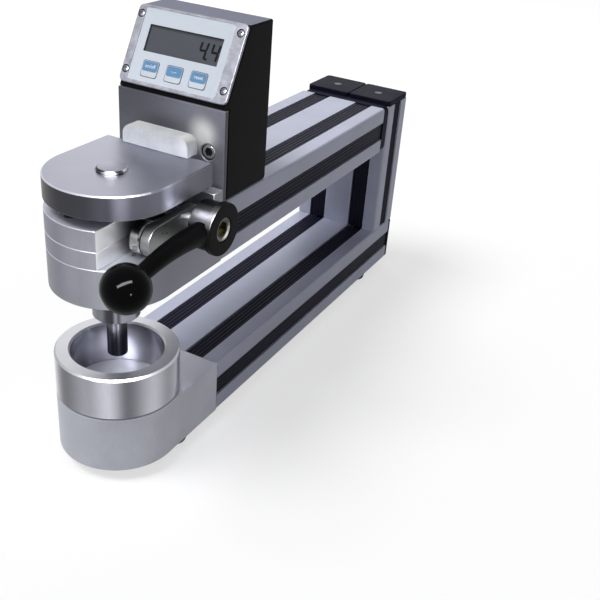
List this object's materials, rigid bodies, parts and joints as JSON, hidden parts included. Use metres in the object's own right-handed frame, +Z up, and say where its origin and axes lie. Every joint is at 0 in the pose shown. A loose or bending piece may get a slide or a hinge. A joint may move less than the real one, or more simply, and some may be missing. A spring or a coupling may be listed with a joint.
{
  "type": "stiffness gauge",
  "caption": "Bench gauge that presses fabric into a cylinder with a guided weight: C-shaped stand of extruded section, lifting lever with roller, and depth display.",
  "frame": {"origin": "on the plunger's axis, on the underside of the base nose, 8 mm above the feet's lower faces", "axes": "+Z up along the plunger, -Y toward the rounded front of head and base, +X toward the lever's side"},
  "size_m": [0.113, 0.434, 0.2747],
  "materials": {
    "drawn_section": "satin anodised, drawn lengthwise",
    "milled_block": "fine milled, matt",
    "cover_strip": "ribbed black",
    "end_cap": "moulded black",
    "polished_steel": "turned and polished",
    "dark_steel": "dark oxide",
    "weight_steel": "ground, brushed",
    "lever_black": "black satin",
    "ball": "gloss black",
    "housing": "black satin",
    "front_plate": "dark grey satin",
    "white_block": "off-white",
    "display_frame": "fine cast, silver",
    "foil": "pale blue foil",
    "keys": "blue and white",
    "screen": "smoked screen",
    "board": "green board",
    "battery": "steel case",
    "sensor": "black",
    "bush_brass": "turned",
    "rubber": "black"
  },
  "bodies": {
    "stand": {"arm_end_plate": "end_cap", "arm_profile": "drawn_section", "arm_screw_left": "dark_steel", "arm_screw_right": "dark_steel", "arm_side_strip_left": "cover_strip", "arm_side_strip_right": "cover_strip", "arm_top_strip_left": "cover_strip", "arm_top_strip_right": "cover_strip", "base_end_cap": "end_cap", "base_nose": "milled_block", "base_profile": "drawn_section", "base_side_strip_left": "cover_strip", "base_side_strip_right": "cover_strip", "base_top_strip_left": "cover_strip", "base_top_strip_right": "cover_strip", "battery": "battery", "display_board": "board", "display_foil": "foil", "display_frame": "display_frame", "foot_bar_front": "rubber", "foot_bar_rear": "rubber", "front_plate": "front_plate", "guide_collar": "polished_steel", "head_lower_layer": "milled_block", "head_middle_layer": "milled_block", "head_top_layer": "milled_block", "housing_clamp": "dark_steel", "housing_shell": "housing", "measuring_cylinder": "polished_steel", "plate_screw_left": "polished_steel", "plate_screw_right": "polished_steel", "screen_module": "screen", "sensor_head": "sensor", "shaft_bush": "bush_brass", "side_plug": "milled_block", "upright_back_strip_left": "cover_strip", "upright_back_strip_right": "cover_strip", "upright_bolts": "dark_steel", "upright_cap_left": "end_cap", "upright_cap_right": "end_cap", "upright_front_strip_left": "cover_strip", "upright_front_strip_right": "cover_strip", "upright_profile": "drawn_section", "upright_side_strip_left": "cover_strip", "upright_side_strip_right": "cover_strip"},
    "weight": {"weight_plate": "weight_steel", "plunger_shaft": "polished_steel", "dome_screw": "polished_steel", "rear_block": "white_block", "sensor_arm": "milled_block"},
    "lever": {"lever_shaft": "polished_steel", "crank_link": "dark_steel", "roller_pin": "polished_steel", "lever_arm": "lever_black", "hub_screw": "polished_steel", "ball_knob": "ball"},
    "roller": {"roller": "polished_steel"},
    "left_key": {"key_left": "keys"},
    "middle_key": {"key_middle": "keys"},
    "right_key": {"key_right": "keys"}
  },
  "joints": [
    {"name": "lever_turn", "type": "hinge", "parent": "stand", "child": "lever", "pos_m": [0.049, 0.0328, 0.1568], "axis": [-1, 0, 0], "range_deg": [0, 45]},
    {"name": "weight_lift", "type": "slide", "parent": "stand", "child": "weight", "axis": [0, 0, 1], "range_m": [0, 0.0162]},
    {"name": "roller_spin", "type": "hinge", "parent": "lever", "child": "roller", "pos_m": [0.0248, -0.00249, 0.1559], "axis": [1, 0, 0], "continuous": true},
    {"name": "left_key_press", "type": "slide", "parent": "stand", "child": "left_key", "axis": [0, 0.8741, -0.4857], "range_m": [0, 0.0004], "stiffness_N_per_m": 800, "springref_m": -0.0005},
    {"name": "middle_key_press", "type": "slide", "parent": "stand", "child": "middle_key", "axis": [0, 0.8741, -0.4857], "range_m": [0, 0.0004], "stiffness_N_per_m": 800, "springref_m": -0.0005},
    {"name": "right_key_press", "type": "slide", "parent": "stand", "child": "right_key", "axis": [0, 0.8741, -0.4857], "range_m": [0, 0.0004], "stiffness_N_per_m": 800, "springref_m": -0.0005}
  ],
  "couplings": [
    {"joint": "weight_lift", "follows": "lever_turn", "m_per_rad": 0.020626}
  ]
}
